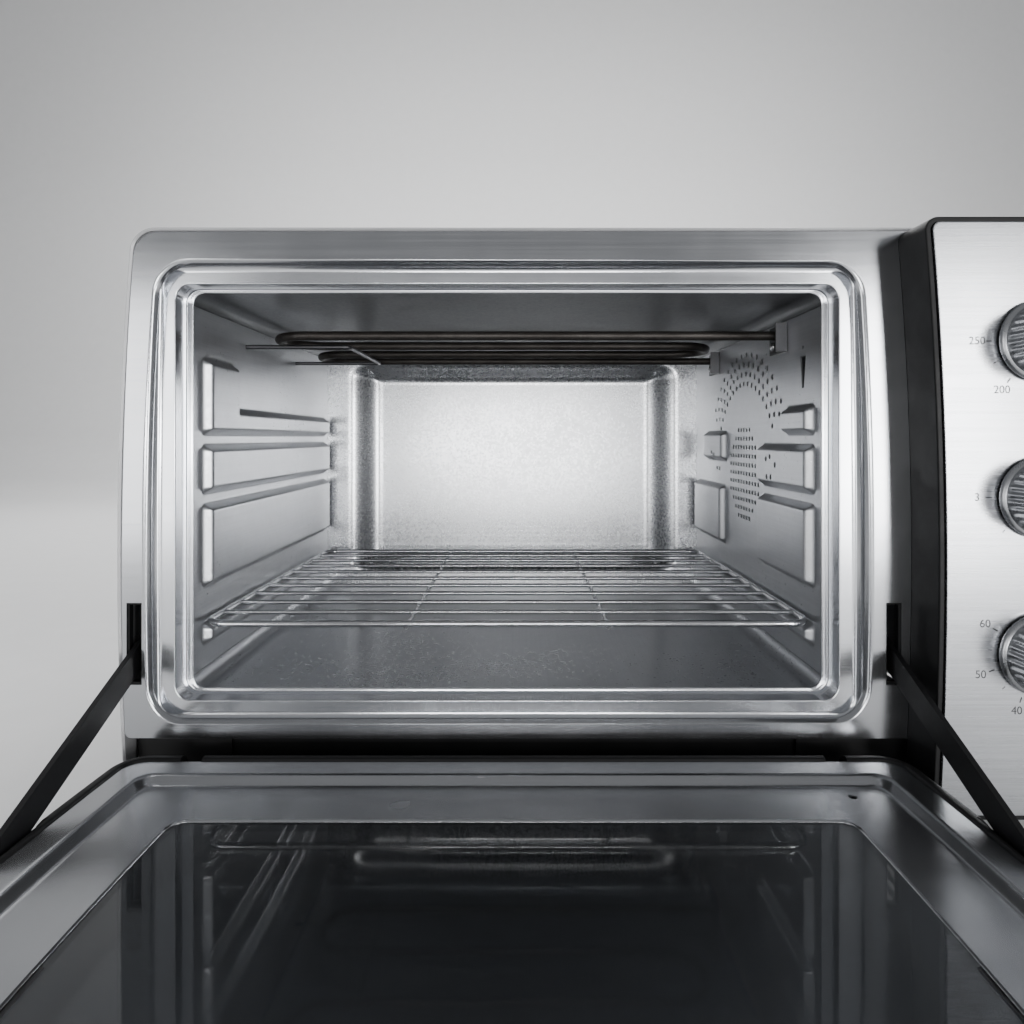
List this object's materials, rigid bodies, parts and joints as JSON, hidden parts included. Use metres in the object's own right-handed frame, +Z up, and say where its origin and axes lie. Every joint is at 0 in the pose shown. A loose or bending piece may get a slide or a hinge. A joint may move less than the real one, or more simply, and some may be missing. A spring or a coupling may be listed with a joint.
{
  "type": "toaster oven",
  "caption": "Countertop convection toaster oven with a drop-down door, wire rack, exposed upper element and a right-hand control fascia with dials.",
  "frame": {"origin": "middle of the footprint box, door open, on the surface the feet stand on", "axes": "+X to the user's right, +Y into the oven, +Z up"},
  "size_m": [0.5742, 0.7204, 0.3635],
  "materials": {
    "casing_paint": "satin light grey",
    "frame_steel": "brushed satin",
    "liner_steel": "aluminised, satin",
    "galvanised": "galvanised",
    "bright_chrome": "bright plated",
    "element_sheath": "dark oxidised sheath",
    "black_plastic": "fine satin",
    "black_steel": "black satin paint",
    "dark_glass": "tinted toughened glass",
    "foot_rubber": "matte",
    "amber_lens": "clear moulded",
    "knob_silver": "silver lacquered plastic",
    "impeller": "bare"
  },
  "bodies": {
    "oven": {"outer_casing": "casing_paint", "base_pan": "galvanised", "rear_panel": "galvanised", "cable_gland": "black_plastic", "front_frame": "frame_steel", "lower_plinth": "black_steel", "cavity_ceiling": "liner_steel", "cavity_floor": "liner_steel", "cavity_left_wall": "liner_steel", "cavity_right_wall": "liner_steel", "cavity_back_wall": "liner_steel", "upper_heating_element": "element_sheath", "element_support_wire": "galvanised", "element_bracket_front": "galvanised", "element_bracket_rear": "galvanised", "element_screw_1": "bright_chrome", "element_screw_2": "bright_chrome", "lower_heating_element": "element_sheath", "lower_element_clip": "galvanised", "fan_shroud": "galvanised", "fan_motor": "galvanised", "fascia_bezel": "black_plastic", "fascia_panel": "frame_steel", "pilot_lens": "amber_lens", "temperature_control": "black_plastic", "function_control": "black_plastic", "timer_control": "black_plastic", "foot_front_left": "foot_rubber", "foot_front_right": "foot_rubber", "foot_rear_left": "foot_rubber", "foot_rear_right": "foot_rubber", "hinge_bracket_left": "black_steel", "hinge_bracket_right": "black_steel", "hinge_pin_left": "bright_chrome", "hinge_pin_right": "bright_chrome", "arm_guide_left": "black_plastic", "arm_guide_right": "black_plastic"},
    "door": {"door_frame": "black_plastic", "door_outer_glass": "dark_glass", "door_inner_panel": "frame_steel", "door_inner_glass": "dark_glass", "glass_clip_left": "galvanised", "glass_clip_right": "galvanised", "handle_bar": "frame_steel", "handle_post_left": "black_plastic", "handle_post_right": "black_plastic", "arm_pin_left": "bright_chrome", "arm_pin_right": "bright_chrome"},
    "left_arm": {"door_arm_left": "black_steel"},
    "right_arm": {"door_arm_right": "black_steel"},
    "rack": {"wire_rack": "bright_chrome"},
    "fan": {"fan_impeller": "impeller", "fan_shaft": "bright_chrome"},
    "temperature_dial": {"temperature_knob": "knob_silver", "temperature_shaft": "bright_chrome"},
    "function_dial": {"function_knob": "knob_silver", "function_shaft": "bright_chrome"},
    "timer_dial": {"timer_knob": "knob_silver", "timer_shaft": "bright_chrome"}
  },
  "joints": [
    {"name": "door_hinge", "type": "hinge", "parent": "oven", "child": "door", "pos_m": [-0.05215, -0.03925, 0.04], "axis": [1, 0, 0], "range_deg": [-90, 0]},
    {"name": "left_arm_pivot", "type": "hinge", "parent": "door", "child": "left_arm", "pos_m": [-0.27665, -0.13175, 0.0534], "axis": [1, 0, 0], "range_deg": [0, 27]},
    {"name": "right_arm_pivot", "type": "hinge", "parent": "door", "child": "right_arm", "pos_m": [0.17235, -0.13175, 0.0534], "axis": [1, 0, 0], "range_deg": [0, 27]},
    {"name": "rack_slide", "type": "slide", "parent": "oven", "child": "rack", "axis": [0, -1, 0], "range_m": [0, 0.24]},
    {"name": "fan_spin", "type": "hinge", "parent": "oven", "child": "fan", "pos_m": [0.16165, 0.15025, 0.209], "axis": [1, 0, 0], "continuous": true},
    {"name": "temperature_turn", "type": "hinge", "parent": "oven", "child": "temperature_dial", "pos_m": [0.23565, -0.06975, 0.292], "axis": [0, 1, 0], "range_deg": [0, 270]},
    {"name": "function_turn", "type": "hinge", "parent": "oven", "child": "function_dial", "pos_m": [0.23565, -0.06975, 0.206], "axis": [0, 1, 0], "range_deg": [0, 270]},
    {"name": "timer_turn", "type": "hinge", "parent": "oven", "child": "timer_dial", "pos_m": [0.23565, -0.06975, 0.12], "axis": [0, 1, 0], "range_deg": [0, 300]}
  ],
  "couplings": [
    {"joint": "left_arm_pivot", "follows": "door_hinge", "ratio": -0.3},
    {"joint": "right_arm_pivot", "follows": "door_hinge", "ratio": -0.3}
  ]
}
